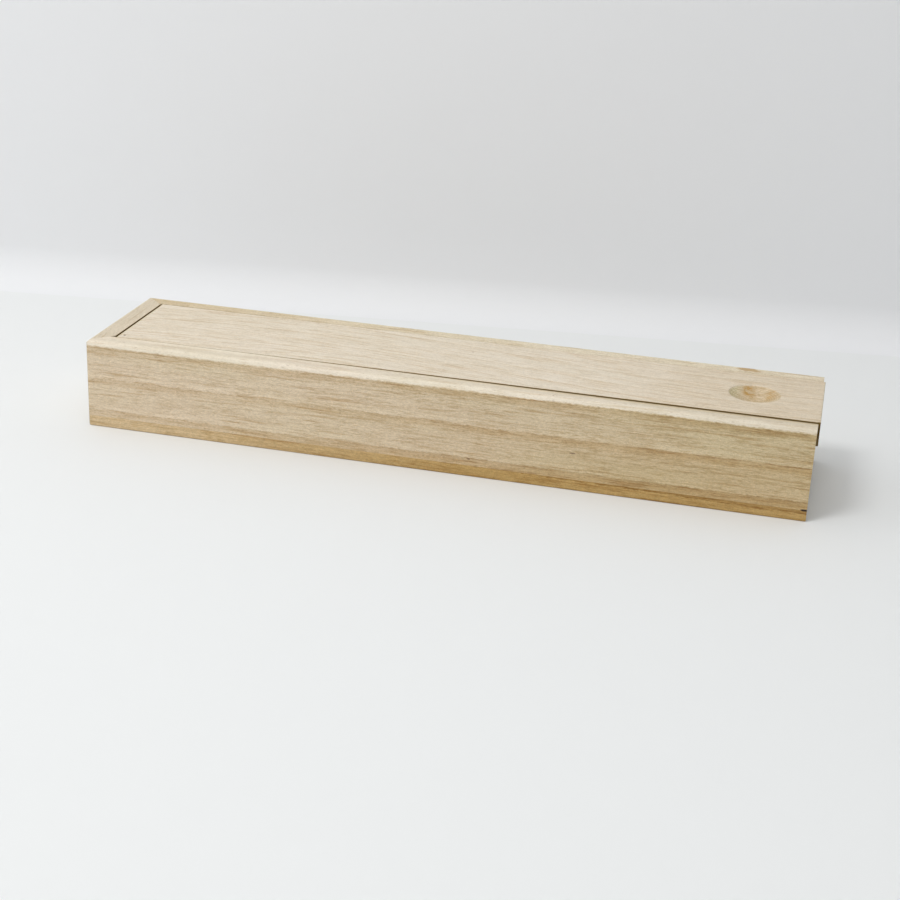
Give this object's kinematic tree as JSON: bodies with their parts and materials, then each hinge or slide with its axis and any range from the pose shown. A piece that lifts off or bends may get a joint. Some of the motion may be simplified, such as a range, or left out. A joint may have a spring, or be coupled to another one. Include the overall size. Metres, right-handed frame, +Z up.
{
  "type": "sliding lid wooden box",
  "caption": "Long low wooden box for papers and keepsakes, with a grooved sliding lid that has a round finger scoop.",
  "frame": {"origin": "on the underside, under the middle of the box with its lid at rest", "axes": "+X along the box to the end where the lid comes out, +Y from the front side board to the back one, +Z up"},
  "size_m": [0.3009, 0.066, 0.0381],
  "materials": {
    "side_wood_front": "raw sanded pale wood, long grain",
    "side_wood_back": "raw sanded pale wood, long grain",
    "end_wood_mitred": "raw sanded pale wood, grain across the box",
    "end_wood_low": "raw sanded pale wood, grain across the box",
    "bottom_wood": "raw sanded pale wood, long grain",
    "lid_wood": "raw sanded pale wood, long grain"
  },
  "bodies": {
    "box": {"front_side": "side_wood_front", "back_side": "side_wood_back", "closed_end": "end_wood_mitred", "open_end": "end_wood_low", "bottom_board": "bottom_wood"},
    "lid": {"lid": "lid_wood"}
  },
  "joints": [
    {"name": "lid_slide", "type": "slide", "parent": "box", "child": "lid", "axis": [1, 0, 0], "range_m": [-0.0006, 0.295]}
  ]
}
